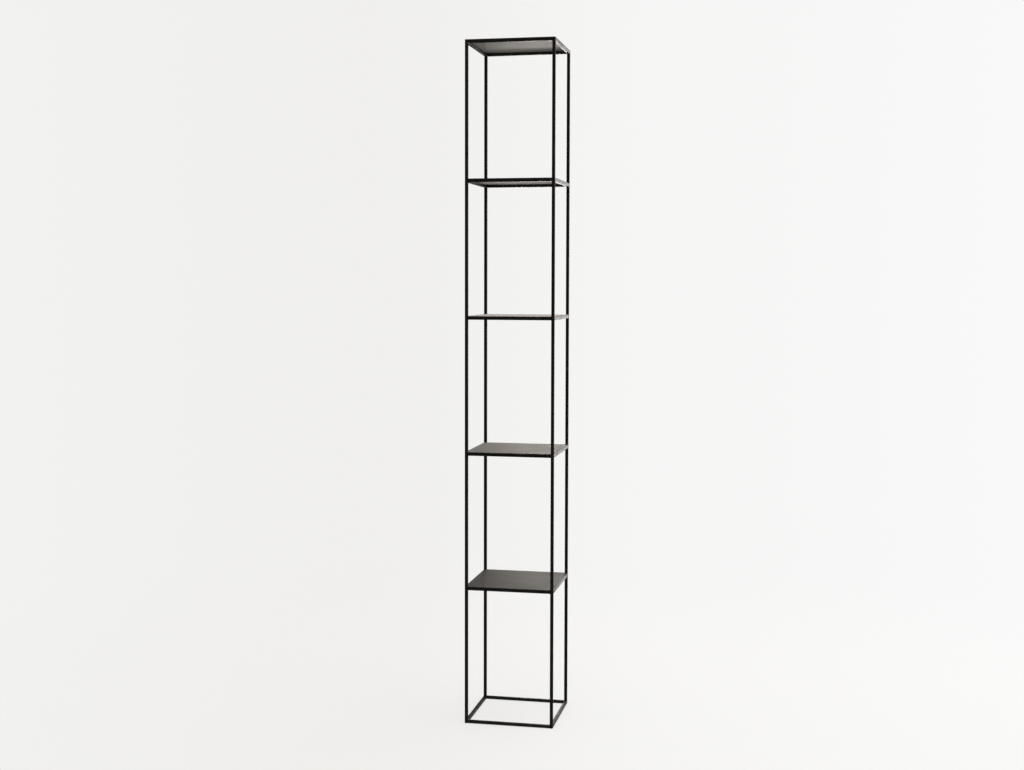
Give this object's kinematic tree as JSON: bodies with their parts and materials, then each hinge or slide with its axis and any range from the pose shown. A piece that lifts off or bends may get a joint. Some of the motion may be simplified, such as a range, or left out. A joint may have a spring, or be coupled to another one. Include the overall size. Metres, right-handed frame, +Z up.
{
  "type": "tower bookshelf",
  "caption": "Tall slim square tower of open shelves: flat black steel sheets carried by a welded frame of thin square bar, open on all sides and open at the floor ring.",
  "frame": {"origin": "on the floor, in the middle of the square footprint", "axes": "+Z up along the posts, -Y towards the front, +X to the right as seen from the front"},
  "size_m": [0.3, 0.3, 2.273],
  "materials": {
    "bar_steel": "near-black satin powder coat on square steel bar, fine grain",
    "sheet_steel": "near-black satin powder coat on flat steel sheet, warm grey at a grazing angle",
    "glide_rubber": "matt black"
  },
  "bodies": {
    "root": {"post_front_left": "bar_steel", "post_front_right": "bar_steel", "post_back_left": "bar_steel", "post_back_right": "bar_steel", "glide_front_left": "glide_rubber", "glide_front_right": "glide_rubber", "glide_back_left": "glide_rubber", "glide_back_right": "glide_rubber", "base_rail_front": "bar_steel", "base_rail_right": "bar_steel", "base_rail_back": "bar_steel", "base_rail_left": "bar_steel", "shelf_1_rail_front": "bar_steel", "shelf_1_rail_right": "bar_steel", "shelf_1_rail_back": "bar_steel", "shelf_1_rail_left": "bar_steel", "shelf_1_sheet": "sheet_steel", "shelf_2_rail_front": "bar_steel", "shelf_2_rail_right": "bar_steel", "shelf_2_rail_back": "bar_steel", "shelf_2_rail_left": "bar_steel", "shelf_2_sheet": "sheet_steel", "shelf_3_rail_front": "bar_steel", "shelf_3_rail_right": "bar_steel", "shelf_3_rail_back": "bar_steel", "shelf_3_rail_left": "bar_steel", "shelf_3_sheet": "sheet_steel", "shelf_4_rail_front": "bar_steel", "shelf_4_rail_right": "bar_steel", "shelf_4_rail_back": "bar_steel", "shelf_4_rail_left": "bar_steel", "shelf_4_sheet": "sheet_steel", "top_rail_front": "bar_steel", "top_rail_right": "bar_steel", "top_rail_back": "bar_steel", "top_rail_left": "bar_steel", "top_sheet": "sheet_steel"}
  },
  "joints": []
}
